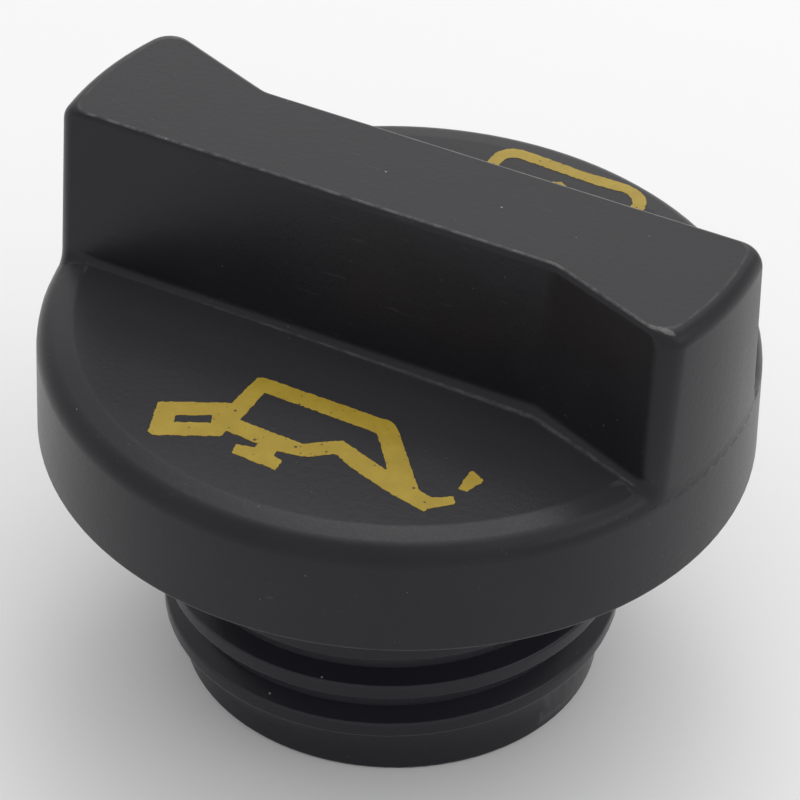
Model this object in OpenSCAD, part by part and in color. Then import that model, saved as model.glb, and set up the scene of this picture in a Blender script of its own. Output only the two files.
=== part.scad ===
// Oil filler cap: a one-piece moulded screw cap with a bar grip, and its rubber sealing ring.
// The cap stands on the open end of its neck at Z = 0, its thread turns about Z,
// and the bar of the grip lies along X.

/* [Head] */
// Outside diameter of the head at its lower edge
head_d = 60.1; // [54:0.1:70]
// Height of the head's wall, from its lower edge to the deck
head_h = 10.1; // [8.5:0.1:14]
// Draft of the head's outer wall, in degrees
wall_draft = 1.4; // [0.5:0.1:2.5]
// Width of the sloping band round the deck, in from the head's lower edge
band_w = 3.2; // [2.8:0.05:4]
// Slope of the band, in degrees
band_slope = 9; // [4:0.5:12]
// Radius of the bend between the deck and the band
band_bend_r = 3; // [1:0.5:5]
// Radius of the shoulder between the wall and the band
shoulder_r = 1.8; // [1:0.1:2.1]
// Thickness of the head's wall at its lower edge
skirt_wall = 2.6; // [2:0.1:4]
// Thickness of the deck
deck_wall = 3.2; // [2.6:0.1:4]
// Radius that breaks the head's lower edges
rim_edge_r = 0.4; // [0.2:0.1:0.8]

/* [Grip] */
// Height of the grip above the deck
grip_h = 14; // [10:0.1:20]
// Thickness of the bar at its top
grip_w = 10.5; // [8.5:0.1:12]
// Draft of the bar's sides, in degrees
grip_draft = 4.3; // [1:0.1:5]
// Draft of the bar's two ends, in degrees
end_draft = 1; // [0.2:0.1:2]
// Distance from the axis at which a side turns outwards to its flared end
kink_x = 15.7; // [12:0.1:19]
// Angle of the flared end to the bar, in degrees
flare_angle = 21.2; // [12:0.1:24]
// Radius of the bend between the bar and its flared end
kink_r = 3; // [1:0.5:6]
// Radius of the two upright corners at the tips of the flared sides
tip_r = 1.8; // [1:0.1:2.6]
// Radius of the two upright corners at the ends of the straight sides
corner_r = 1.4; // [1:0.1:2.6]
// Radius along the top edges of the sides
side_edge_r = 0.45; // [0.3:0.05:0.8]
// Radius along the top edges of the two ends
end_edge_r = 1.4; // [0.5:0.1:1.5]
// Radius of the fillet between the grip and the deck
foot_r = 1.3; // [0.6:0.1:1.8]
// Step of the grip's ends behind the head's wall
end_step = 0.05; // [0.03:0.01:0.1]

/* [Grip core] */
// Wall round the hollow core of the grip
core_wall = 3.2; // [2.6:0.1:3.6]
// Thickness over the top of the core
core_roof = 3; // [2:0.1:5]
// Thickness of the rib across the middle of the core
core_rib = 2.4; // [1.6:0.1:4]
// Distance of the core's ends inside the neck's bore
core_end_gap = 1; // [0.6:0.1:3]

/* [Neck] */
// Length of the neck below the head's lower edge
neck_len = 23.8; // [22:0.1:30]
// Diameter of the neck at the root of its thread
root_d = 36.5; // [34:0.1:39]
// Step from the root in to the plain end that guides the neck into its thread
pilot_step = 0.15; // [0.05:0.05:0.35]
// Length of the plain end
pilot_len = 2.2; // [1.6:0.1:2.4]
// Wall of the neck
neck_wall = 2.4; // [1.8:0.1:3.2]
// Radius that breaks the edges of the neck's open end
neck_edge_r = 0.35; // [0.2:0.05:0.6]
// Step from the root out to the collar that carries the sealing ring
seat_step = 0.35; // [0.15:0.05:1.4]
// Length of the collar below the deck
seat_len = 4.6; // [3.5:0.1:6]

/* [Thread] */
// Pitch of the right-hand thread
thread_pitch = 4.2; // [3.6:0.1:5]
// Height of the thread above its root
thread_depth = 1.5; // [0.8:0.1:2]
// Width of the thread's crest
crest_w = 1.3; // [0.8:0.1:1.8]
// Width of each flank, seen along the radius
flank_w = 0.85; // [0.5:0.05:1.1]
// Radius of the crest's edges
crest_r = 0.35; // [0.1:0.05:0.5]
// Distance from the plain end to the foot of the thread
thread_gap = 0.1; // [0.1:0.1:1]
// Direction of the thread's lower end, in degrees from +X
thread_az = 117; // [0:1:360]
// Turns from one end of the thread to the other
thread_turns = 3.3; // [2:0.1:3.5]
// Angle over which the thread rises from its root at each end
thread_run = 55; // [20:5:90]

/* [Sealing ring] */
// Width of the ring from its bore to its outer edge
seal_w = 4.5; // [3:0.1:5.5]
// Thickness of the ring
seal_t = 2.5; // [1.5:0.1:3]
// Radius of the ring's edges
seal_edge_r = 0.5; // [0.2:0.05:0.7]
// Clearance between the ring and its collar
seal_fit = 0.1; // [0.05:0.05:0.3]

/* [Hidden] */
$fn = 96;

// Heights
rim_z = neck_len;
deck_z = rim_z + head_h;
top_z = deck_z + grip_h;
under_z = deck_z - deck_wall;
seat_z = under_z - seat_len;
// Radii
head_r = head_d / 2;
root_r = root_d / 2;
pilot_r = root_r - pilot_step;
seat_r = root_r + seat_step;
bore_r = root_r - neck_wall;
skirt_r = head_r - skirt_wall;
seal_bore_r = seat_r + seal_fit;
// The deck ends where the band starts, and the band would meet the drafted wall at the corner
band_start_r = head_r - band_w;
band_fall = tan(band_slope);
wall_fall = tan(wall_draft);
corner_scale = 1 / (1 - band_fall * wall_fall);
corner_z = (deck_z - band_fall * (band_w + rim_z * wall_fall)) * corner_scale;
// Centre of the shoulder's arc, which touches the drafted wall and the band
shoulder_z = corner_z - shoulder_r * (1 / cos(band_slope) - band_fall / cos(wall_draft)) * corner_scale;
shoulder_c = wall_radius(shoulder_z) - shoulder_r / cos(wall_draft);
band_end_r = shoulder_c + shoulder_r * sin(band_slope);
// Draft of the hidden walls, in degrees
inner_draft = 1;
// Radius of the inner corners under the deck
inner_r = 0.8;
// Steps along round stretches
corner_steps = 6;
kink_steps = 4;
end_steps = 10;
fillet_steps = 8;
profile_steps = 6;
thread_step = 5;
crest_steps = 2;
// Depth to which joined shapes reach into each other
bite = 0.4;
root_bite = 1;
foot_sink = 0.05;
body_colour = [0.17, 0.17, 0.18];
rubber_colour = [0.07, 0.07, 0.07];

// Radius of the head's drafted outer wall at a height
function wall_radius(z) = head_r - (z - rim_z) * wall_fall;

// Points along an arc in the plane
function arc_points(centre, r, from, to, steps) =
    [for (i = [0:steps]) let (a = from + (to - from) * i / steps) centre + r * [cos(a), sin(a)]];

// Points of one rounded corner at b, between its neighbours a and c
function corner_points(a, b, c, r, steps) =
    let (
        u = (a - b) / norm(a - b),
        v = (c - b) / norm(c - b),
        half = acos(u * v) / 2,
        middle = (u + v) / norm(u + v),
        centre = b + middle * r / sin(half),
        from = b + u * r / tan(half) - centre,
        to = b + v * r / tan(half) - centre,
        start = atan2(from.y, from.x),
        turn = atan2(from.x * to.y - from.y * to.x, from * to)
    )
    arc_points(centre, r, start, start + turn, steps);

// An outline with its corners rounded: each corner is [point, radius]
function rounded(corners, steps) =
    let (n = len(corners))
    [for (i = [0:n - 1], p = corners[i][1] <= 0
        ? [corners[i][0]]
        : corner_points(corners[(i + n - 1) % n][0], corners[i][0], corners[(i + 1) % n][0], corners[i][1], steps))
        p];

// The point at which a line from p along a unit direction reaches a circle about the axis
function on_circle(p, direction, r) =
    let (along = p * direction)
    p + direction * (sqrt(along * along - p * p + r * r) - along);

// Height of the head's top surface at a distance from the axis
function head_surface(r) =
    r <= band_end_r
        ? deck_z - max(0, r - band_start_r) * band_fall
        : shoulder_z + sqrt(max(0, shoulder_r * shoulder_r - pow(r - shoulder_c, 2)));

// Half of the grip's plan, with its sides moved out and its end on a circle: the other half is this one
// turned by 180 degrees
function half_plan(out, end_r) =
    let (
        half_w = grip_w / 2 + out,
        bend = tan(flare_angle / 2),
        kink = [kink_x - out * bend, -half_w],
        flare_way = [cos(flare_angle), -sin(flare_angle)],
        flare_out = [-sin(flare_angle), -cos(flare_angle)],
        flare_c = on_circle(kink - tip_r * flare_out, flare_way, end_r - tip_r),
        plain_c = on_circle([0, half_w - corner_r], [1, 0], end_r - corner_r),
        flare_az = atan2(flare_c.y, flare_c.x),
        plain_az = atan2(plain_c.y, plain_c.x),
        end_arc = arc_points([0, 0], end_r, flare_az, plain_az, end_steps)
    )
    concat(
        arc_points([kink.x - kink_r * bend, -half_w - kink_r], kink_r, 90, 90 - flare_angle, kink_steps),
        arc_points(flare_c, tip_r, -90 - flare_angle, flare_az, corner_steps),
        [for (i = [1:end_steps - 1]) end_arc[i]],
        arc_points(plain_c, corner_r, plain_az, 90, corner_steps)
    );

function plan(out, end_r) = let (half = half_plan(out, end_r)) concat(half, [for (p = half) -p]);

// Heights, side offsets and end radii of the grip's rings. The lower rings follow the head's surface
// and carry the fillet, and the upper ones are level and carry the draft and the rounded top.
side_base = (grip_h - foot_r) * tan(grip_draft);
end_base = wall_radius(shoulder_z) - end_step;
end_foot_z = head_surface(end_base);
fillet_start = 90 / fillet_steps / 2;
function end_radius(z) = end_base - (z - shoulder_z) * tan(end_draft);
function side_round(z) =
    let (d = z - (top_z - side_edge_r))
    d <= 0 ? 0 : side_edge_r - sqrt(max(0, side_edge_r * side_edge_r - d * d));

foot_rings = concat(
    [foot_ring(-root_bite, side_base + foot_r * (1 - sin(fillet_start)))],
    [for (i = [0:fillet_steps])
        let (a = fillet_start + (90 - grip_draft - fillet_start) * i / fillet_steps)
        foot_ring(foot_r * (1 - cos(a)) - foot_sink, side_base + foot_r * (1 - sin(a)))]
);
top_rings = [for (i = [0:fillet_steps])
    let (
        a = 90 * i / fillet_steps,
        z = top_z - end_edge_r * (1 - sin(a)),
        out = (top_z - z) * tan(grip_draft) - side_round(z)
    )
    [for (p = plan(out, end_radius(z) - end_edge_r * (1 - cos(a)))) [p.x, p.y, z]]
];

function foot_ring(h, out) =
    [for (p = plan(out, end_radius(end_foot_z + h))) [p.x, p.y, head_surface(norm(p)) + h]];

// A closed skin through a stack of rings, with its two ends closed by strips from side to side
module ring_skin(rings, first) {
    n = len(rings[0]);
    half = n / 2;
    last = len(rings) - 1;
    function front(k) = (first + half + k) % n;
    function back(k) = (first + half - k + n) % n;
    sides = [for (j = [0:last - 1], i = [0:n - 1])
        let (a = j * n + i, b = j * n + (i + 1) % n)
        each [[a, a + n, b + n], [a, b + n, b]]];
    roof = [for (k = [0:half - 1]) each concat(
        k > 0 ? [[front(k), back(k), back(k + 1)]] : [],
        k < half - 1 ? [[front(k), back(k + 1), front(k + 1)]] : [])];
    lid = [for (f = roof) [for (i = f) i + last * n]];
    base = [for (f = roof) [f[2], f[1], f[0]]];
    polyhedron(points = [for (r = rings) each r], faces = concat(sides, lid, base));
}

module grip() {
    end_middle = kink_steps + corner_steps + 1 + end_steps / 2;
    ring_skin(concat(foot_rings, top_rings), end_middle);
}

// The hollow of the grip, open to the neck's bore and split by a rib
module grip_core() {
    core_z = top_z - core_roof;
    top_half = grip_w / 2 - core_wall + core_roof * tan(grip_draft);
    foot_half = top_half + (core_z - under_z) * tan(grip_draft);
    low_z = under_z - root_bite;
    low_half = foot_half + root_bite * tan(grip_draft);
    difference() {
        intersection() {
            translate([-head_r, 0, 0])
                rotate([90, 0, 90])
                linear_extrude(height = head_d)
                polygon([[-low_half, low_z], [low_half, low_z], [top_half, core_z], [-top_half, core_z]]);
            translate([0, 0, low_z - root_bite])
                cylinder(h = core_z - low_z + 2 * root_bite, r = bore_r - core_end_gap);
        }
        translate([-core_rib / 2, -head_r, under_z])
            cube([core_rib, head_d, core_z - under_z + root_bite]);
    }
}

// The turned shape of the moulding: neck, deck, wall and the space between neck and wall
module turned_body() {
    bore_top_r = bore_r - under_z * tan(inner_draft) / 2;
    skirt_top_r = skirt_r - (under_z - rim_z) * tan(inner_draft);
    core_r = root_r - bite;
    rotate_extrude()
        polygon(rounded([
            [[0, deck_z], 0],
            [[0, under_z], 0],
            [[bore_top_r, under_z], inner_r],
            [[bore_r, 0], neck_edge_r],
            [[pilot_r, 0], neck_edge_r],
            [[pilot_r, pilot_len + bite], 0],
            [[core_r, pilot_len + bite], 0],
            [[core_r, seat_z], 0],
            [[seat_r, seat_z], 0],
            [[seat_r, under_z], 0],
            [[skirt_top_r, under_z], inner_r],
            [[skirt_r, rim_z], rim_edge_r],
            [[head_r, rim_z], rim_edge_r],
            [[wall_radius(corner_z), corner_z], shoulder_r],
            [[band_start_r, deck_z], band_bend_r]
        ], profile_steps));
}

// The threaded stretch of the neck: a sleeve round the turned body whose skin carries the helix.
// Each column of its skin holds the thread's section once for every turn that passes there, and the
// seam joins each turn to the next one up. The section sinks into the root at both ends of the thread.
module thread() {
    foot_w = crest_w / 2 + flank_w;
    first_z = pilot_len + thread_gap + foot_w;
    section = rounded([
        [[0, -foot_w], 0],
        [[thread_depth, -crest_w / 2], crest_r],
        [[thread_depth, crest_w / 2], crest_r],
        [[0, foot_w], 0]
    ], crest_steps);
    n = len(section);
    total = thread_turns * 360;
    turns = floor(thread_turns) + 1;
    columns = 360 / thread_step;
    top = seat_z + bite;
    inner = root_r - 2 * bite;
    high = turns * n + 1;
    size = high + 1;
    function rise(turn) = max(0, min(1, turn / thread_run, (total - turn) / thread_run));
    function skin(i, k) = i * size + k;
    function inside(i, end) = columns * size + 2 * (i % columns) + end;
    function around(i, r, z) = let (a = thread_az + i * thread_step) [r * cos(a), r * sin(a), z];
    skin_points = [for (i = [0:columns - 1]) each concat(
        [around(i, root_r, pilot_len)],
        [for (t = [0:turns - 1], p = section)
            let (turn = t * 360 + i * thread_step)
            around(i, root_r + p.x * rise(turn), first_z + thread_pitch * turn / 360 + p.y)],
        [around(i, root_r, top)])];
    inner_points = [for (i = [0:columns - 1], z = [pilot_len, top]) around(i, inner, z)];
    skin_faces = [for (i = [0:columns - 2], k = [0:high - 1]) each [
        [skin(i, k), skin(i, k + 1), skin(i + 1, k + 1)],
        [skin(i, k), skin(i + 1, k + 1), skin(i + 1, k)]]];
    left = columns - 1;
    upper = (turns - 1) * n;
    seam_faces = concat(
        [for (j = [0:n]) [skin(left, 0), skin(0, j + 1), skin(0, j)]],
        [[skin(left, 0), skin(left, 1), skin(0, n + 1)]],
        [for (k = [1:upper - 1]) each [
            [skin(left, k), skin(left, k + 1), skin(0, k + 1 + n)],
            [skin(left, k), skin(0, k + 1 + n), skin(0, k + n)]]],
        [for (k = [upper:high - 1]) [skin(left, k), skin(left, k + 1), skin(0, upper + n)]],
        [[skin(left, high), skin(0, high), skin(0, upper + n)]]);
    ring_faces = [for (i = [0:columns - 1]) let (j = (i + 1) % columns) each [
        [skin(i, 0), skin(j, 0), inside(j, 0), inside(i, 0)],
        [skin(j, high), skin(i, high), inside(i, 1), inside(j, 1)],
        [inside(j, 0), inside(j, 1), inside(i, 1), inside(i, 0)]]];
    polyhedron(points = concat(skin_points, inner_points), faces = concat(skin_faces, seam_faces, ring_faces));
}

module cap_body() {
    color(body_colour)
        difference() {
            union() {
                turned_body();
                grip();
                thread();
            }
            grip_core();
        }
}

// The flat rubber ring on the neck's collar, against the deck's underside
module sealing_ring() {
    outer = seal_bore_r + seal_w;
    low = under_z - seal_t;
    color(rubber_colour)
        rotate_extrude()
        polygon(rounded([
            [[seal_bore_r, low], seal_edge_r],
            [[outer, low], seal_edge_r],
            [[outer, under_z], seal_edge_r],
            [[seal_bore_r, under_z], seal_edge_r]
        ], profile_steps));
}

cap_body();
sealing_ring();
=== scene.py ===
"""Oil filler cap: dresses the packed model of the cap with its moulded finish and its printed signs,
and sets it on a pale studio floor. All lengths are in metres, in the frame of the packed model, except
where a comment or a docstring says millimetres."""

import math

import bpy
from bpy.props import FloatProperty, FloatVectorProperty, PointerProperty
from bpy.types import Operator, Panel, PropertyGroup
from mathutils import Matrix, Vector, noise
from mathutils.bvhtree import BVHTree


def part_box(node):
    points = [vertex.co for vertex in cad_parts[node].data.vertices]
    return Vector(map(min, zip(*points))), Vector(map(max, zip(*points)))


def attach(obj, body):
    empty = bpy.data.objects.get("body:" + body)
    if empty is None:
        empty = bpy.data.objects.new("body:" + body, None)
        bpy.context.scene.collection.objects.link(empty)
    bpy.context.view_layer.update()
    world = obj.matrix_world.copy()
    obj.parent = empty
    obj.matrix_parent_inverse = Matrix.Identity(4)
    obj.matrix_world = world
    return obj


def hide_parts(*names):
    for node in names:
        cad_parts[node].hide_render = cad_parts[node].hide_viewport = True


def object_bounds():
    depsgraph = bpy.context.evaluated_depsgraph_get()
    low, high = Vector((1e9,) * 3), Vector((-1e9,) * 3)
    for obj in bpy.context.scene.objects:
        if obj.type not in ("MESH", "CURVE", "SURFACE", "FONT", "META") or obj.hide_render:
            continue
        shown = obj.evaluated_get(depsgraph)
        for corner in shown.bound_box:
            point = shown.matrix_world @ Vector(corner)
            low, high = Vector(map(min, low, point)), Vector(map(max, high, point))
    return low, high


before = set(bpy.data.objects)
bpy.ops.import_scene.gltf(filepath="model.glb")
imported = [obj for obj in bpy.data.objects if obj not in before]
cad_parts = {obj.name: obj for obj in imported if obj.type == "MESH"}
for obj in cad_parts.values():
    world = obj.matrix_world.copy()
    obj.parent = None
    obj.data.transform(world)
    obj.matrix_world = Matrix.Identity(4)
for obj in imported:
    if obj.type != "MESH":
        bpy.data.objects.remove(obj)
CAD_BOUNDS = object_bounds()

bl_info = {
    "name": "Oil filler cap",
    "version": (1, 0, 0),
    "blender": (4, 5, 0),
    "location": "3D View > Sidebar > Filler cap",
    "description": "Dresses a moulded oil filler cap with its finish, its printed signs and a studio",
    "category": "Object",
}

MM = 0.001
BODY = "root"
UP = Vector((0.0, 0.0, 1.0))

# The deck is measured this far in front of the axis, well clear of the grip and the shoulder
DECK_PROBE = -20.0 * MM


def skin(node):
    """A CAD node's skin, ready to be searched."""
    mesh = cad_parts[node].data
    return BVHTree.FromPolygons([v.co for v in mesh.vertices], [p.vertices for p in mesh.polygons])


CAP_SKIN = skin("cap_body")
TOP_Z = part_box("cap_body")[1].z


def surface_below(x, y):
    """Height of the cap's surface at a place seen from above."""
    place = CAP_SKIN.ray_cast(Vector((x, y, 2 * TOP_Z)), -UP)[0]
    if place is None:
        raise RuntimeError(f"the cap has no surface at {x}, {y}")
    return place.z


DECK_Z = surface_below(0.0, DECK_PROBE)

# Height of the head's lower edge
RIM_Z = DECK_Z - 10.1 * MM

# The seam where the grip's ends run into the head's shoulder. It lies beyond this x, and between these two
# heights the wall goes from the first radius to the second. Skin that is further in by more than the slack
# stays as it is.
SEAM_X = 27.5 * MM
SEAM_LOW_Z = DECK_Z - 2.013 * MM
SEAM_HIGH_Z = DECK_Z - 0.8 * MM
SEAM_LOW_R = 29.852 * MM
SEAM_HIGH_R = 29.780 * MM
SEAM_SLACK = 0.02 * MM

# Vertices of the moulding, and of the ink, that are closer than this are merged
MERGE_DISTANCE = 0.01 * MM
INK_MERGE_DISTANCE = 0.0005 * MM

# A face thinner than this is taken out
SLIVER = 0.001 * MM

# Faces that meet at less than the first angle are joined. Edges sharper than the others stay sharp.
FLAT_ANGLE = math.radians(0.1)
BODY_SMOOTH_ANGLE = math.radians(32)
RING_SMOOTH_ANGLE = math.radians(40)

# How much more a large face counts than a small one where the shading is smooth
LARGE_FACE_WEIGHT = 80

# A face looks up if its normal's z is above this, and a vertex this close to the deck's height lies on it
LOOKS_UP = 0.8
ON_THE_DECK = 0.003 * MM

# Where the finish changes, in millimetres, as all places in the materials are. A pair gives the start and
# the end of a soft change. The head's grain sets in at these heights from the head's lower edge.
HEAD_START = (-0.6, -0.1)

# The pale line round the grip's top, partly wear and partly a painted highlight on the rounded edge. It sets
# in at these heights from the top, on the flanks and on the ends, and stops where the flat starts. The ends
# lie beyond this distance from the axis and get less of it.
FLANK_LINE = (-0.12, -0.07)
END_LINE = (-0.05, -0.03)
FLAT_START = (-0.012, -0.002)
END_RADIUS = (27.2, 28.2)
END_SHARE = 0.35

# The pale, wavering line along the grip's foot, partly dust and partly a painted highlight on the fillet: its
# start and its stop above the deck, and how far it wavers
FOOT_START = (0.06, 0.12)
FOOT_STOP = (0.18, 0.30)
FOOT_WAVER = 0.2

# Painted light from above: a paler colour on faces that look up, strongest on the deck along the grip, where
# it lifts the shade at the grip's foot. It thins out with height above the deck and with distance from the
# grip's middle, down to the last share.
TOP_LIGHT_HEIGHT = (2, 8)
TOP_LIGHT_REACH = (9, 22)
TOP_LIGHT_LEAST = 0.16

# As a surface turns to look up, the foot's line, the painted top light and the specks of dust set in over
# these ranges of its normal's z
FOOT_RISE = (0.55, 0.8)
TOP_LIGHT_RISE = (0.80, 1.02)
DUST_RISE = (-0.2, 0.6)

# A painted glint on the front corner of the grip's right end
GLINT_PLACE = (26.75, -8.55, 47.75)
GLINT_SIZE = (0.75, 0.3, 0.25)

# Kinds of specks of dust: width of a cell, and share of the cells that hold a speck
DUST = (1.7, 0.20)
FINE_DUST = (0.9, 0.20)
EDGE_DUST = (0.8, 0.30)

# Radius of the largest fine specks and of the largest specks on edges, as shares of the largest of all
FINE_DUST_SIZE = 0.5
EDGE_DUST_SIZE = 0.8

# Kinds of pinholes in the ink, and their radius
PINHOLES = (0.38, 0.32)
PINHOLE_RADIUS = 0.08
LARGE_PINHOLES = (0.8, 0.16)
LARGE_PINHOLE_RADIUS = 0.15

# Radius of the smallest speck or pinhole of a kind, as a share of the largest
SMALLEST_SPECK = 0.3

# How far the neck's colour and the pale grain tips cover the plastic, from 0 to 1
NECK_COVER = 0.6
GRAIN_COVER = 0.25

# How far the dust colour, which also paints the highlights, covers it. An edge has a least cover and what its
# wear and its painted highlight add.
EDGE_COVER = (0.04, 0.14)
FOOT_COVER = 0.12
GLINT_COVER = 0.2
RUBBING_COVER = 0.12
DUST_COVER = 0.6
FINE_DUST_COVER = 0.25
EDGE_DUST_COVER = 0.5

# How far thin ink and the pinholes cover the ink's own colour
THIN_INK_COVER = 0.3
PINHOLE_COVER = 0.85

# What each of these adds to the roughness of the plastic
GRAIN_ROUGHNESS = 0.16
CLOUD_ROUGHNESS = 0.08
NECK_ROUGHNESS = -0.08
RUBBING_ROUGHNESS = 0.05

# Heights of the fine relief, in millimetres
PEBBLE_HEIGHT = 0.012
RUBBER_GRAIN_HEIGHT = 0.01
INK_RELIEF_HEIGHT = 0.012

# Outlines of the oil can sign, in millimetres. Each corner is (x, y, radius).
CAN_OUTLINE = (
    (-11.4, -19.65, 0.1), (-6.25, -16.9, 0.1), (-6.1, -13.0, 0.3), (-5.55, -12.75, 0.3),
    (5.85, -12.8, 0.2), (6.65, -13.2, 0.3), (11.7, -19.25, 0.5), (13.05, -19.6, 0.5),
    (14.4, -18.65, 0.1), (14.95, -19.4, 0.1), (13.4, -20.9, 0.2), (13.25, -21.4, 0.1),
    (9.3, -20.55, 0.5), (5.75, -19.35, 0.8), (4.0, -18.5, 0.4), (2.5, -19.8, 0.8),
    (1.7, -20.15, 0.5), (-0.2, -20.4, 0.1), (-0.05, -21.1, 0.1), (0.8, -21.3, 0.1),
    (0.9, -22.6, 0.1), (-3.1, -22.4, 0.1), (-3.35, -21.25, 0.1), (-1.9, -21.0, 0.1),
    (-1.9, -20.4, 0.1), (-4.9, -20.2, 0.1), (-4.85, -20.95, 0.1), (-9.7, -23.55, 0.15),
    (-10.2, -23.2, 0.15),
)
CAN_BODY_HOLE = (
    (-4.65, -14.45, 0.1), (5.55, -14.6, 0.15), (6.35, -15.55, 0.2), (8.55, -18.4, 0.1),
    (3.7, -16.8, 0.2), (2.9, -17.35, 0.4), (1.2, -18.7, 0.4), (-4.6, -18.5, 0.1),
)
CAN_HANDLE_HOLE = ((-9.3, -20.45, 0.1), (-6.75, -19.0, 0.1), (-6.45, -19.95, 0.15), (-9.05, -21.3, 0.1))
CAN_DROP = ((14.1, -15.05, 0.2), (15.6, -15.75, 0.1), (15.05, -17.6, 0.2), (14.3, -17.65, 0.2))

# The book sign: its two sides, its near edge and its spine, in millimetres, and the steps of its corners
BOOK_LEFT = -4.0
BOOK_RIGHT = 10.95
BOOK_NEAR = 16.6
BOOK_MIDDLE = 3.2
BOOK_CORNER_STEPS = 8

# Each sign's ink: the seed of its creep, and how often its faces' edges are cut so that it follows a bend
CAN_SEED = 3.0
CAN_CUTS = 1
BOOK_SEED = 21.0
BOOK_CUTS = 5

# How the ink's edge creeps: length of its steps in millimetres, waves a millimetre, and the share of the
# broad waves
CREEP_STEP = 0.16
BROAD_WAVES = 2.7
FINE_WAVES = 9.0
BROAD_SHARE = 0.6

# The ink's middle lies above the deck by this share of its thickness, so its underside is sunk in the plastic
INK_RISE = 0.2

# Soft boxes: name, azimuth and elevation in degrees, distance, width and height, and radiance of the face
LAMPS = (
    ("back_box", 96, 56, 1.3, (1.3, 0.4), 0.95),
    ("key_box", 112, 57, 1.3, (0.45, 0.3), 2.75),
    ("backdrop", 100, 30, 1.4, (1.4, 0.3), 1.03),
    ("right_box", 5, 30, 1.3, (0.9, 0.5), 0.95),
    ("high_right_box", 0, 58, 1.3, (0.8, 0.5), 0.62),
    ("high_back_box", 96, 75, 1.4, (1.0, 0.45), 1.05),
)
WORLD_BRIGHTNESS = 0.80
FLOOR_SIZE = 6.0

# The floor's darkest tone, as a share of its colour
FLOOR_SHADE = 0.985

# Where the camera looks, and its sensor's width in millimetres
CAMERA_TARGET = Vector((0.156 * MM, 0.078 * MM, RIM_Z + 1.403 * MM))
SENSOR_WIDTH = 36.0
CLIP_START = 0.01

# Places of the sockets of a Mix node that mixes colours
MIX_AMOUNT = 0
MIX_FIRST = 6
MIX_SECOND = 7
MIX_RESULT = 2


class Socket:
    """An output in a material's node tree. Python's operators on it add Math nodes."""

    def __init__(self, finish, output):
        self.finish = finish
        self.output = output

    def _math(self, operation, first, second):
        return self.finish.node("ShaderNodeMath", {"operation": operation}, {0: first, 1: second})[0]

    def __add__(self, other):
        return self._math("ADD", self, other)

    __radd__ = __add__

    def __sub__(self, other):
        return self._math("SUBTRACT", self, other)

    def __rsub__(self, other):
        return self._math("SUBTRACT", other, self)

    def __mul__(self, other):
        return self._math("MULTIPLY", self, other)

    __rmul__ = __mul__

    def __pow__(self, other):
        return self._math("POWER", self, other)

    def __lt__(self, other):
        return self._math("LESS_THAN", self, other)

    def clamp(self):
        """This value, held between 0 and 1."""
        return self.finish.node("ShaderNodeClamp", {}, {"Value": self})[0]

    def step(self, low, high):
        """0 below low, 1 above high, and a smooth rise between them."""
        return self.finish.node(
            "ShaderNodeMapRange",
            {"interpolation_type": "SMOOTHSTEP"},
            {"Value": self, "From Min": low, "From Max": high, "To Min": 0.0, "To Max": 1.0},
        )[0]

    def step_from(self, level, stretch):
        """A step whose start and end are given as distances from a level."""
        return self.step(level + stretch[0], level + stretch[1])


class Finish:
    """A material under construction. Its place, x, y and z are in millimetres."""

    def __init__(self, name):
        self.material = bpy.data.materials.new(name)
        self.material.use_nodes = True
        self.tree = self.material.node_tree
        self.tree.nodes.clear()
        coordinates = self.node("ShaderNodeTexCoord", {}, {})
        self.place = self.vector("SCALE", coordinates["Object"], Scale=1 / MM)
        parts = self.node("ShaderNodeSeparateXYZ", {}, {0: self.place})
        self.x, self.y, self.z = parts["X"], parts["Y"], parts["Z"]

    def node(self, kind, settings, values):
        """Adds a node, sets it, then gives its inputs a value or a link. Returns its outputs."""
        made = self.tree.nodes.new(kind)
        for key, setting in settings.items():
            setattr(made, key, setting)
        for key, value in values.items():
            if isinstance(value, Socket):
                self.tree.links.new(value.output, made.inputs[key])
            else:
                made.inputs[key].default_value = value
        return Outputs(self, made)

    def vector(self, operation, first, second=None, **others):
        """A Vector Math node's vector output."""
        values = {0: first}
        if second is not None:
            values[1] = second
        values.update(others)
        return self.node("ShaderNodeVectorMath", {"operation": operation}, values)[0]

    def noise(self, scale, detail=2.0, roughness=0.5, place=None):
        """Noise with its grains about 1 / scale millimetres wide, from 0 to 1."""
        return self.node(
            "ShaderNodeTexNoise",
            {},
            {"Vector": place or self.place, "Scale": scale, "Detail": detail, "Roughness": roughness},
        )[0]

    def mix(self, amount, first, second):
        """Mixes two colours by an amount."""
        values = {MIX_AMOUNT: amount, MIX_FIRST: first, MIX_SECOND: second}
        return self.node("ShaderNodeMix", {"data_type": "RGBA"}, values)[MIX_RESULT]

    def near(self, centre, size):
        """1 inside an ellipsoid, and a ragged fall to 0 round it. Both its centre and its half sizes are in
        millimetres."""
        scale = [1 / s for s in size]
        shrunk = self.vector("MULTIPLY", self.place, scale)
        middle = [c * s for c, s in zip(centre, scale)]
        away = self.node("ShaderNodeVectorMath", {"operation": "DISTANCE"}, {0: shrunk, 1: middle})["Value"]
        ragged_away = away + (self.noise(scale=3.0) - 0.5) * 0.8
        return 1 - ragged_away.step(0.7, 1.1)

    def bump(self, height, distance, under=None):
        """A normal raised by a height of 0 to 1 times a distance in millimetres."""
        values = {"Strength": 1.0, "Distance": distance * MM, "Height": height}
        if under is not None:
            values["Normal"] = under
        return self.node("ShaderNodeBump", {}, values)[0]

    def done(self, **inputs):
        """Ends the material in one Principled shader."""
        shader = self.node(
            "ShaderNodeBsdfPrincipled",
            {},
            {key.replace("_", " "): value for key, value in inputs.items()},
        )
        self.node("ShaderNodeOutputMaterial", {}, {"Surface": shader[0]})
        return self.material


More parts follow.
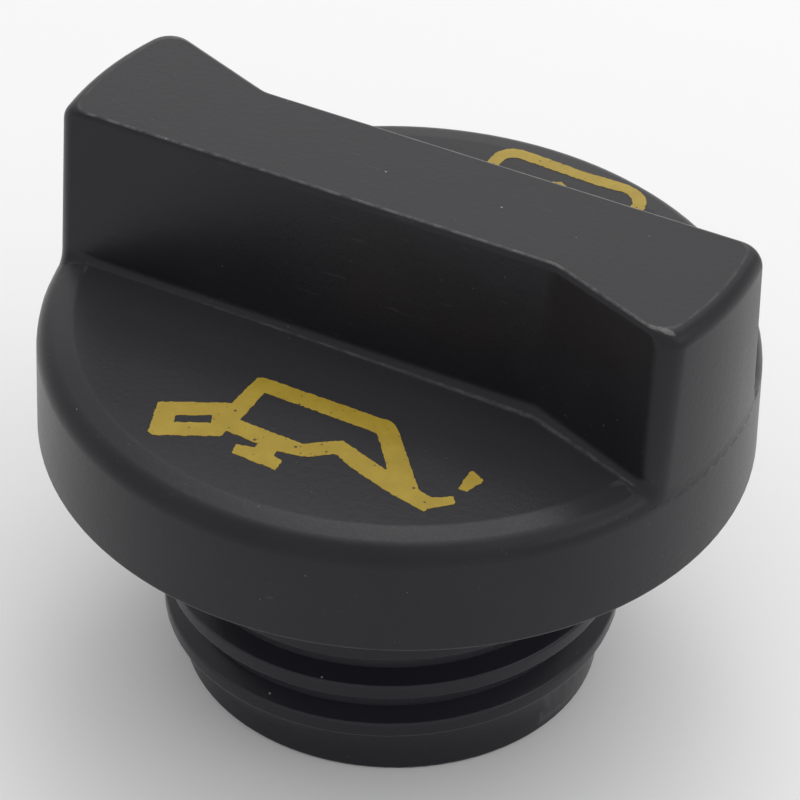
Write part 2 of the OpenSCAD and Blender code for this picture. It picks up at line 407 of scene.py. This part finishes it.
class Outputs:
    """A node's outputs, by place or by name."""

    def __init__(self, finish, made):
        self.finish = finish
        self.made = made

    def __getitem__(self, key):
        return Socket(self.finish, self.made.outputs[key])


def colour(value):
    """A property's colour as four numbers."""
    return (value[0], value[1], value[2], 1.0)


def specks(f, kind, radius):
    """Round specks of up to a radius. Their kind is the width of a cell, and the share of the cells that
    hold one."""
    cell, share = kind
    cells = f.node("ShaderNodeTexVoronoi", {}, {"Vector": f.place, "Scale": 1 / cell, "Randomness": 1.0})
    pick = f.node("ShaderNodeSeparateColor", {}, {0: cells["Color"]})
    size = pick["Green"] * (1 - SMALLEST_SPECK) + SMALLEST_SPECK
    inside = (cells["Distance"] * cell) < (size * radius)
    return inside * (pick["Red"] < share)


def top_edge_wear_and_highlight(f):
    """The pale line round the grip's top, just under its flat: partly wear, partly a painted highlight on the
    rounded edge.
    """
    top = TOP_Z / MM
    outer = ((f.x * f.x + f.y * f.y) ** 0.5).step(*END_RADIUS)
    on_flanks = f.z.step_from(top, FLANK_LINE) * (1 - outer)
    on_ends = f.z.step_from(top, END_LINE) * outer * END_SHARE
    return (on_flanks + on_ends) * (1 - f.z.step_from(top, FLAT_START))


def foot_dust_and_highlight_line(f, up):
    """The pale, wavering line along the grip's foot, where its fillet looks up: partly dust, partly a painted
    highlight on the fillet.
    """
    deck = DECK_Z / MM
    height = f.z + (f.noise(scale=2.4, detail=3.0, roughness=0.65) - 0.5) * FOOT_WAVER
    return height.step_from(deck, FOOT_START) * (1 - height.step_from(deck, FOOT_STOP)) * up.step(*FOOT_RISE)


def painted_top_light(f, up):
    """Painted light from above: a paler colour on faces that look up, strongest on the deck along the grip,
    where it lifts the shade at the grip's foot.
    """
    from_the_middle = (f.y * f.y) ** 0.5
    by_the_grip = (1 - f.z.step_from(DECK_Z / MM, TOP_LIGHT_HEIGHT)) * (1 - from_the_middle.step(*TOP_LIGHT_REACH))
    return up.step(*TOP_LIGHT_RISE) * (TOP_LIGHT_LEAST + (1 - TOP_LIGHT_LEAST) * by_the_grip)


def moulded_plastic(settings):
    """Grained charcoal plastic on the head, smoother on the neck, with dust and light rubbing, painted light
    from above on faces that look up, painted highlights along the grip's top edge and foot, and a painted
    glint on one corner.
    """
    f = Finish("moulded_plastic")
    normal = f.node("ShaderNodeNewGeometry", {}, {})["Normal"]
    up = f.node("ShaderNodeSeparateXYZ", {}, {0: normal})["Z"]
    head = f.z.step_from(RIM_Z / MM, HEAD_START)
    # Masks of the pale lines along the grip's top edge and foot, partly wear and dust, partly painted
    # highlights, and of a painted glint on one corner
    edge = top_edge_wear_and_highlight(f)
    foot = foot_dust_and_highlight_line(f, up)
    glint = f.near(GLINT_PLACE, GLINT_SIZE)

    grain = f.noise(scale=1 / settings.grain_size * MM, detail=3.0, roughness=0.6)
    pebble = f.noise(scale=0.35 / settings.grain_size * MM)
    cloud = f.noise(scale=0.12, detail=3.0, roughness=0.55)
    along_the_grip = f.vector("MULTIPLY", f.place, (0.35, 2.2, 2.2))
    streaks = f.noise(scale=0.9, detail=4.0, roughness=0.65, place=along_the_grip)
    rubbing = streaks.step(0.62, 0.86) * cloud.step(0.42, 0.62) * head
    wavy = f.noise(scale=1.1, detail=3.0, roughness=0.6)

    speck = settings.dust_size / MM
    dust = specks(f, DUST, speck) * up.step(*DUST_RISE)
    fine_dust = specks(f, FINE_DUST, speck * FINE_DUST_SIZE)
    edge_dust = specks(f, EDGE_DUST, speck * EDGE_DUST_SIZE) * edge

    base = f.mix(cloud.step(0.25, 0.75), colour(settings.plastic_colour), colour(settings.plastic_light))
    base = f.mix((1 - head) * NECK_COVER, base, colour(settings.neck_colour))
    base = f.mix(grain.step(0.55, 0.85) * head * GRAIN_COVER, base, colour(settings.grain_colour))
    # Painted light from above, as a paler colour on faces that look up
    base = f.mix(painted_top_light(f, up) * head, base, colour(settings.top_light_colour))
    # The dust colour also paints highlights: along the grip's top edge and foot, and a glint on one corner
    edge_wear_and_highlight = edge * (wavy.step(0.3, 0.7) * EDGE_COVER[1] + EDGE_COVER[0])
    foot_dust_and_highlight = foot * wavy.step(0.2, 0.8) * FOOT_COVER
    wear_and_highlights = edge_wear_and_highlight + foot_dust_and_highlight + glint * GLINT_COVER
    specked = dust * DUST_COVER + fine_dust * FINE_DUST_COVER + edge_dust * EDGE_DUST_COVER
    for cover in (wear_and_highlights.clamp(), rubbing * RUBBING_COVER, specked.clamp()):
        base = f.mix(cover, base, colour(settings.dust_and_highlight_colour))

    rough = settings.plastic_roughness + (grain - 0.5) * GRAIN_ROUGHNESS * head
    rough = rough + (cloud - 0.5) * CLOUD_ROUGHNESS + (1 - head) * NECK_ROUGHNESS
    rough = rough + rubbing * RUBBING_ROUGHNESS
    raised = f.bump(pebble, PEBBLE_HEIGHT)
    raised = f.bump(grain * head + dust * 0.8, settings.grain_height / MM, raised)
    return f.done(Base_Color=base, Roughness=rough.clamp(), Normal=raised, Specular_IOR_Level=0.27)


def sealing_rubber(settings):
    """Smooth black rubber with a faint bloom."""
    f = Finish("sealing_rubber")
    cloud = f.noise(scale=0.3, detail=3.0)
    grain = f.noise(scale=4.0)
    base = f.mix(cloud.step(0.35, 0.8), colour(settings.rubber_colour), colour(settings.rubber_bloom))
    rough = 0.46 + (cloud - 0.5) * 0.2
    raised = f.bump(grain, RUBBER_GRAIN_HEIGHT)
    return f.done(Base_Color=base, Roughness=rough.clamp(), Normal=raised)


def sign_ink(settings):
    """Golden ink with pinholes, through which the plastic shows."""
    f = Finish("sign_ink")
    holes = (specks(f, PINHOLES, PINHOLE_RADIUS) + specks(f, LARGE_PINHOLES, LARGE_PINHOLE_RADIUS)).clamp()
    blotch = f.noise(scale=0.5, detail=3.0, roughness=0.6)
    grain = f.noise(scale=7.0, roughness=0.6)
    base = f.mix(blotch.step(0.3, 0.75), colour(settings.ink_colour), colour(settings.ink_light))
    base = f.mix(grain.step(0.5, 0.9) * THIN_INK_COVER, base, colour(settings.ink_dark))
    base = f.mix(holes * PINHOLE_COVER, base, colour(settings.ink_hole_colour))
    rough = 0.5 + (grain - 0.5) * 0.2
    raised = f.bump((1 - holes) + grain * 0.4, INK_RELIEF_HEIGHT)
    return f.done(Base_Color=base, Roughness=rough.clamp(), Normal=raised)


def select_only(obj):
    """Makes one object the only one selected."""
    if bpy.context.mode != "OBJECT":
        bpy.ops.object.mode_set(mode="OBJECT")
    bpy.ops.object.select_all(action="DESELECT")
    obj.select_set(True)
    bpy.context.view_layer.objects.active = obj


def give_finish(obj, material):
    """Leaves an object with one material."""
    obj.data.materials.clear()
    obj.data.materials.append(material)


def even_out_seams(mesh):
    """Brings the skin where the grip's ends run into the head's shoulder onto one cone, some hundredths of a
    millimetre further out, so that no ledge shows there."""
    for vertex in mesh.vertices:
        place = vertex.co
        radius = place.xy.length
        height = (place.z - SEAM_LOW_Z) / (SEAM_HIGH_Z - SEAM_LOW_Z)
        if abs(place.x) > SEAM_X and radius > SEAM_HIGH_R - SEAM_SLACK and 0 < height < 1:
            wanted = SEAM_LOW_R + (SEAM_HIGH_R - SEAM_LOW_R) * height
            if wanted > radius:
                place.xy = place.xy * wanted / radius


def level_deck_normals(mesh):
    """Points the shading normals along the deck's border straight up, since the shoulder and the grip's foot
    both leave the deck at a tangent."""
    normals = [corner.vector.copy() for corner in mesh.corner_normals]
    for face in mesh.polygons:
        if face.normal.z > LOOKS_UP:
            for corner in face.loop_indices:
                place = mesh.vertices[mesh.loops[corner].vertex_index].co
                if abs(place.z - DECK_Z) < ON_THE_DECK:
                    normals[corner] = UP
    mesh.normals_split_custom_set(normals)


def select_highest_faces(mesh):
    """Selects the faces that lie flat at the mesh's highest point, and no others."""
    highest = max(v.co.z for v in mesh.vertices)
    for face in mesh.polygons:
        face.select = all(abs(mesh.vertices[i].co.z - highest) < SLIVER for i in face.vertices)


def merged_copy(node, name, angle, prepare=None):
    """A copy of a CAD node's skin with its loose triangles merged, its flat faces joined and its rounded
    stretches shaded smooth. Prepare, if given, is called with the merged mesh before its faces are joined."""
    piece = bpy.data.objects.new(name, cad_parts[node].data.copy())
    bpy.context.scene.collection.objects.link(piece)
    select_only(piece)
    bpy.ops.object.mode_set(mode="EDIT")
    bpy.ops.mesh.select_all(action="SELECT")
    bpy.ops.mesh.remove_doubles(threshold=MERGE_DISTANCE)
    if prepare is not None:
        bpy.ops.object.mode_set(mode="OBJECT")
        prepare(piece.data)
        bpy.ops.object.mode_set(mode="EDIT")
    bpy.ops.mesh.dissolve_degenerate(threshold=SLIVER)
    bpy.ops.mesh.dissolve_limited(angle_limit=FLAT_ANGLE)
    bpy.ops.mesh.select_all(action="DESELECT")
    bpy.ops.object.mode_set(mode="OBJECT")
    select_highest_faces(piece.data)
    bpy.ops.object.mode_set(mode="EDIT")
    bpy.ops.mesh.dissolve_faces()
    bpy.ops.object.mode_set(mode="OBJECT")
    bpy.ops.object.shade_smooth_by_angle(angle=angle)
    smoother = piece.modifiers.new("weighted", "WEIGHTED_NORMAL")
    smoother.mode = "FACE_AREA_WITH_ANGLE"
    smoother.keep_sharp = True
    smoother.weight = LARGE_FACE_WEIGHT
    bpy.ops.object.modifier_apply(modifier=smoother.name)
    return piece


def rounded_outline(corners, steps=5):
    """An outline in millimetres with its corners rounded. Each corner is (x, y, radius)."""
    points = []
    count = len(corners)
    for i, (x, y, radius) in enumerate(corners):
        here = Vector((x, y))
        if radius <= 0:
            points.append(here)
            continue
        before = (Vector(corners[i - 1][:2]) - here).normalized()
        after = (Vector(corners[(i + 1) % count][:2]) - here).normalized()
        half = before.angle(after) / 2
        centre = here + (before + after).normalized() * radius / math.sin(half)
        start = here + before * radius / math.tan(half) - centre
        end = here + after * radius / math.tan(half) - centre
        turn = math.atan2(start.x * end.y - start.y * end.x, start.dot(end))
        for k in range(steps + 1):
            points.append(centre + Matrix.Rotation(turn * k / steps, 2) @ start)
    return points


def wander(point, seeds, waves):
    """A push of up to 1 along x and along y, each from smooth noise with a seed of its own."""
    return Vector([noise.noise(Vector((point.x, point.y, seed)) * waves) for seed in seeds])


def ragged(points, depth, seed):
    """The same outline in short steps, each pushed in or out a little as ink creeps."""
    made = []
    for i, here in enumerate(points):
        there = points[(i + 1) % len(points)]
        along = there - here
        pieces = max(1, round(along.length / CREEP_STEP))
        for k in range(pieces):
            point = here + along * k / pieces
            broad = wander(point, (seed, seed + 9.0), BROAD_WAVES)
            fine = wander(point, (seed + 4.0, seed + 7.0), FINE_WAVES)
            made.append(point + (broad * BROAD_SHARE + fine * (1 - BROAD_SHARE)) * depth * 2)
    return made


def printed_sign(name, outlines, settings, seed, cuts):
    """Ink of an even thickness on the deck, from closed outlines in millimetres. Inner outlines are holes.
    Each edge of its faces is cut so many times, so that the ink can follow a bend of the surface."""
    shape = bpy.data.curves.new(name, "CURVE")
    shape.dimensions = "2D"
    shape.fill_mode = "BOTH"
    shape.extrude = settings.ink_thickness / 2
    for k, outline in enumerate(outlines):
        points = ragged(outline, settings.ink_creep / MM, seed + k)
        spline = shape.splines.new("POLY")
        spline.points.add(len(points) - 1)
        for target, point in zip(spline.points, points):
            target.co = (point.x * MM, point.y * MM, 0.0, 1.0)
        spline.use_cyclic_u = True
    piece = bpy.data.objects.new(name, shape)
    bpy.context.scene.collection.objects.link(piece)
    select_only(piece)
    bpy.ops.object.convert(target="MESH")
    piece = bpy.context.view_layer.objects.active
    bpy.ops.object.mode_set(mode="EDIT")
    bpy.ops.mesh.select_all(action="SELECT")
    bpy.ops.mesh.remove_doubles(threshold=INK_MERGE_DISTANCE)
    bpy.ops.mesh.normals_make_consistent(inside=False)
    bpy.ops.mesh.quads_convert_to_tris()
    bpy.ops.mesh.subdivide(number_cuts=cuts)
    bpy.ops.object.mode_set(mode="OBJECT")
    for vertex in piece.data.vertices:
        vertex.co.z += surface_below(vertex.co.x, vertex.co.y) + settings.ink_thickness * INK_RISE
    give_finish(piece, sign_ink(settings))
    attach(piece, BODY)


class CapPlasticSettings(PropertyGroup):
    """Finish of the moulding."""

    plastic_colour: FloatVectorProperty(
        name="Plastic", description="Colour of the moulded plastic", subtype="COLOR",
        default=(0.0084, 0.0080, 0.0107))
    plastic_light: FloatVectorProperty(
        name="Plastic, paler", description="Colour where the plastic has gone a little pale", subtype="COLOR",
        default=(0.0106, 0.0101, 0.0132))
    plastic_roughness: FloatProperty(
        name="Roughness", description="Roughness of the plastic, from 0 to 1", subtype="FACTOR", default=0.34)
    neck_colour: FloatVectorProperty(
        name="Neck", description="Colour of the smoother neck", subtype="COLOR",
        default=(0.0170, 0.0167, 0.0222))
    grain_colour: FloatVectorProperty(
        name="Grain tips", description="Colour of the tips of the grain", subtype="COLOR",
        default=(0.026, 0.026, 0.027))
    # Painted top light: the paler colour painted on faces that look up, standing in for light from above
    top_light_colour: FloatVectorProperty(
        name="Painted top light", description="Colour of the painted light from above on faces that look up",
        subtype="COLOR", default=(0.0318, 0.0304, 0.0338))
    # Colour of dust and rubbing, which also paints the highlights along the grip's top edge and foot and the
    # glint on its corner
    dust_and_highlight_colour: FloatVectorProperty(
        name="Dust", description="Colour of dust, rubbing and painted highlights", subtype="COLOR", default=(0.42, 0.42, 0.41))
    dust_size: FloatProperty(
        name="Dust size", description="Radius of the larger dust specks", unit="LENGTH", default=0.10 * MM)
    grain_size: FloatProperty(
        name="Grain size", description="Width of one grain of the moulded surface", unit="LENGTH",
        default=0.22 * MM)
    grain_height: FloatProperty(
        name="Grain height", description="Height of the moulded grain", unit="LENGTH", default=0.009 * MM)


class CapRubberSettings(PropertyGroup):
    """Finish of the sealing ring."""

    rubber_colour: FloatVectorProperty(
        name="Rubber", description="Colour of the rubber", subtype="COLOR", default=(0.012, 0.012, 0.013))
    rubber_bloom: FloatVectorProperty(
        name="Bloom", description="Colour of the rubber's faint bloom", subtype="COLOR",
        default=(0.028, 0.028, 0.03))


class CapSignSettings(PropertyGroup):
    """Sizes and colours of the printed signs."""

    ink_thickness: FloatProperty(
        name="Ink thickness", description="Thickness of the printed ink", unit="LENGTH", default=0.04 * MM)
    ink_creep: FloatProperty(
        name="Ink creep", description="How far the ink's edge wanders", unit="LENGTH", default=0.07 * MM)
    ink_colour: FloatVectorProperty(
        name="Ink", description="Colour of the ink", subtype="COLOR", default=(0.340, 0.228, 0.009))
    ink_light: FloatVectorProperty(
        name="Ink, paler", description="Colour of the thicker ink", subtype="COLOR",
        default=(0.385, 0.268, 0.016))
    ink_dark: FloatVectorProperty(
        name="Ink, darker", description="Colour of the thin ink", subtype="COLOR",
        default=(0.215, 0.145, 0.008))
    ink_hole_colour: FloatVectorProperty(
        name="Pinholes", description="Colour seen through the ink's pinholes", subtype="COLOR",
        default=(0.02, 0.017, 0.014))
    book_bar: FloatProperty(
        name="Book line", description="Width of the lines of the book", unit="LENGTH", default=1.35 * MM)


class CapStudioSettings(PropertyGroup):
    """Camera and floor."""

    azimuth: FloatProperty(
        name="Azimuth", description="Direction of the camera round the cap", subtype="ANGLE",
        default=math.radians(26.61))
    elevation: FloatProperty(
        name="Elevation", description="Height of the camera above the horizon", subtype="ANGLE",
        default=math.radians(37.80))
    roll: FloatProperty(
        name="Roll", description="Turn of the camera about its view", subtype="ANGLE",
        default=math.radians(1.847))
    distance: FloatProperty(
        name="Distance", description="Distance from the camera to its target", unit="LENGTH",
        default=298.8 * MM)
    lens: FloatProperty(
        name="Lens", description="Focal length on a sensor 36 mm wide, in millimetres", default=160.9)
    floor_colour: FloatVectorProperty(
        name="Floor", description="Colour of the floor", subtype="COLOR", default=(0.86, 0.86, 0.86))


class CAP_OT_moulding(Operator):
    """Dress the moulded body of the cap"""

    bl_idname = "cap.moulding"
    bl_label = "Moulded body"

    def execute(self, context):
        piece = merged_copy("cap_body", "moulding", BODY_SMOOTH_ANGLE, even_out_seams)
        level_deck_normals(piece.data)
        give_finish(piece, moulded_plastic(context.scene.cap_plastic))
        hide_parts("cap_body")
        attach(piece, BODY)
        return {"FINISHED"}


class CAP_OT_sealing_ring(Operator):
    """Dress the rubber ring under the head"""

    bl_idname = "cap.sealing_ring"
    bl_label = "Sealing ring"

    def execute(self, context):
        piece = merged_copy("sealing_ring", "rubber_ring", RING_SMOOTH_ANGLE)
        give_finish(piece, sealing_rubber(context.scene.cap_rubber))
        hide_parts("sealing_ring")
        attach(piece, BODY)
        return {"FINISHED"}


class CAP_OT_oil_can_sign(Operator):
    """Print the oil can with its drop on the front half of the deck"""

    bl_idname = "cap.oil_can_sign"
    bl_label = "Oil can sign"

    def execute(self, context):
        corners = (CAN_OUTLINE, CAN_BODY_HOLE, CAN_HANDLE_HOLE, CAN_DROP)
        outlines = [rounded_outline(c) for c in corners]
        printed_sign("oil_can_sign", outlines, context.scene.cap_signs, CAN_SEED, CAN_CUTS)
        return {"FINISHED"}


class CAP_OT_book_sign(Operator):
    """Print the open book on the back half of the deck"""

    bl_idname = "cap.book_sign"
    bl_label = "Book sign"

    def execute(self, context):
        settings = context.scene.cap_signs
        bar = settings.book_bar / MM
        outer = rounded_outline([
            (BOOK_LEFT, 27.15, 2.1), (BOOK_LEFT, BOOK_NEAR, 1.2), (BOOK_RIGHT, BOOK_NEAR, 1.2),
            (BOOK_RIGHT, 27.2, 3.0), (BOOK_MIDDLE + 1.0, 26.6, 4.0),
        ], BOOK_CORNER_STEPS)
        inner = rounded_outline([
            (BOOK_LEFT + 1.15, 25.7, 1.1), (BOOK_LEFT + 1.15, BOOK_NEAR + bar, 0.5),
            (BOOK_RIGHT - 1.2, BOOK_NEAR + bar, 0.5), (BOOK_RIGHT - 1.2, 25.55, 1.5),
            (BOOK_MIDDLE + 2.6, 25.25, 4.0),
        ], BOOK_CORNER_STEPS)
        spine_foot = BOOK_NEAR + bar * 0.8
        spine = rounded_outline([
            (BOOK_MIDDLE - bar / 2, spine_foot, 0), (BOOK_MIDDLE + bar / 2, spine_foot, 0),
            (BOOK_MIDDLE + 1.1, 23.3, 0.2), (BOOK_MIDDLE - 0.1, 24.2, 0.2), (BOOK_MIDDLE - 0.9, 23.8, 0.2),
        ])
        printed_sign("book_sign", [outer, inner, spine], settings, BOOK_SEED, BOOK_CUTS)
        return {"FINISHED"}


def lamp(name, azimuth, elevation, distance, size, brightness):
    """A soft box that faces the cap from a direction in degrees. Its face has the given radiance."""
    data = bpy.data.lights.new(name, "AREA")
    data.shape = "RECTANGLE"
    data.size, data.size_y = size
    data.energy = brightness * math.pi * size[0] * size[1]
    made = bpy.data.objects.new(name, data)
    bpy.context.scene.collection.objects.link(made)
    a, e = math.radians(azimuth), math.radians(elevation)
    away = Vector((math.cos(a) * math.cos(e), math.sin(a) * math.cos(e), math.sin(e)))
    aim = away.to_track_quat("Z", "Y")
    made.matrix_world = Matrix.Translation(away * distance) @ aim.to_matrix().to_4x4()


class CAP_OT_stage(Operator):
    """Set the floor, the lamps and the camera"""

    bl_idname = "cap.stage"
    bl_label = "Studio"

    def execute(self, context):
        settings = context.scene.cap_studio
        self.floor(settings)
        self.lamps(context.scene)
        self.camera(context.scene, settings)
        return {"FINISHED"}

    def floor(self, settings):
        """A plain pale floor under the cap."""
        bpy.ops.object.select_all(action="DESELECT")
        bpy.ops.mesh.primitive_plane_add(size=FLOOR_SIZE, location=(0.0, 0.0, CAD_BOUNDS[0].z))
        plane = bpy.context.view_layer.objects.active
        plane.name = "floor"
        f = Finish("floor")
        shade = [c * FLOOR_SHADE for c in settings.floor_colour]
        base = f.mix(f.noise(scale=0.01), colour(settings.floor_colour), colour(shade))
        give_finish(plane, f.done(Base_Color=base, Roughness=0.9))

    def lamps(self, scene):
        """An even white surround and the soft boxes."""
        world = bpy.data.worlds.new("studio")
        scene.world = world
        world.use_nodes = True
        background = world.node_tree.nodes["Background"]
        background.inputs["Color"].default_value = (1.0, 1.0, 1.0, 1.0)
        background.inputs["Strength"].default_value = WORLD_BRIGHTNESS
        for values in LAMPS:
            lamp(*values)

    def camera(self, scene, settings):
        """The camera, turned and placed by the settings."""
        data = bpy.data.cameras.new("camera")
        data.sensor_width = SENSOR_WIDTH
        data.lens = settings.lens
        data.clip_start = CLIP_START
        made = bpy.data.objects.new("camera", data)
        scene.collection.objects.link(made)
        a, e = settings.azimuth, settings.elevation
        back = Vector((math.sin(a) * math.cos(e), -math.cos(a) * math.cos(e), math.sin(e)))
        right = Vector((math.cos(a), math.sin(a), 0.0))
        above = back.cross(right)
        turn = settings.roll
        level = right * math.cos(turn) + above * math.sin(turn)
        upright = above * math.cos(turn) - right * math.sin(turn)
        axes = Matrix((level, upright, back)).transposed().to_4x4()
        made.matrix_world = Matrix.Translation(CAMERA_TARGET + back * settings.distance) @ axes
        scene.camera = made
        scene.view_settings.view_transform = "Standard"


class CAP_PT_panel(Panel):
    """Lists the settings and the steps of the cap"""

    bl_idname = "CAP_PT_panel"
    bl_label = "Oil filler cap"
    bl_space_type = "VIEW_3D"
    bl_region_type = "UI"
    bl_category = "Filler cap"

    def draw(self, context):
        for name in SETTINGS:
            group = getattr(context.scene, name)
            box = self.layout.box()
            box.label(text=type(group).__doc__)
            for key in type(group).__annotations__:
                box.prop(group, key)
        for step in STEPS:
            self.layout.operator(step.bl_idname)


SETTINGS = {
    "cap_plastic": CapPlasticSettings,
    "cap_rubber": CapRubberSettings,
    "cap_signs": CapSignSettings,
    "cap_studio": CapStudioSettings,
}
STEPS = (CAP_OT_moulding, CAP_OT_sealing_ring, CAP_OT_oil_can_sign, CAP_OT_book_sign, CAP_OT_stage)
CLASSES = (*SETTINGS.values(), *STEPS, CAP_PT_panel)


def register():
    for cls in CLASSES:
        bpy.utils.register_class(cls)
    for name, group in SETTINGS.items():
        setattr(bpy.types.Scene, name, PointerProperty(type=group))


def unregister():
    for name in SETTINGS:
        delattr(bpy.types.Scene, name)
    for cls in reversed(CLASSES):
        bpy.utils.unregister_class(cls)


def main():
    register()
    bpy.ops.cap.moulding()
    bpy.ops.cap.sealing_ring()
    bpy.ops.cap.oil_can_sign()
    bpy.ops.cap.book_sign()
    bpy.ops.cap.stage()


if __name__ == "__main__":
    main()
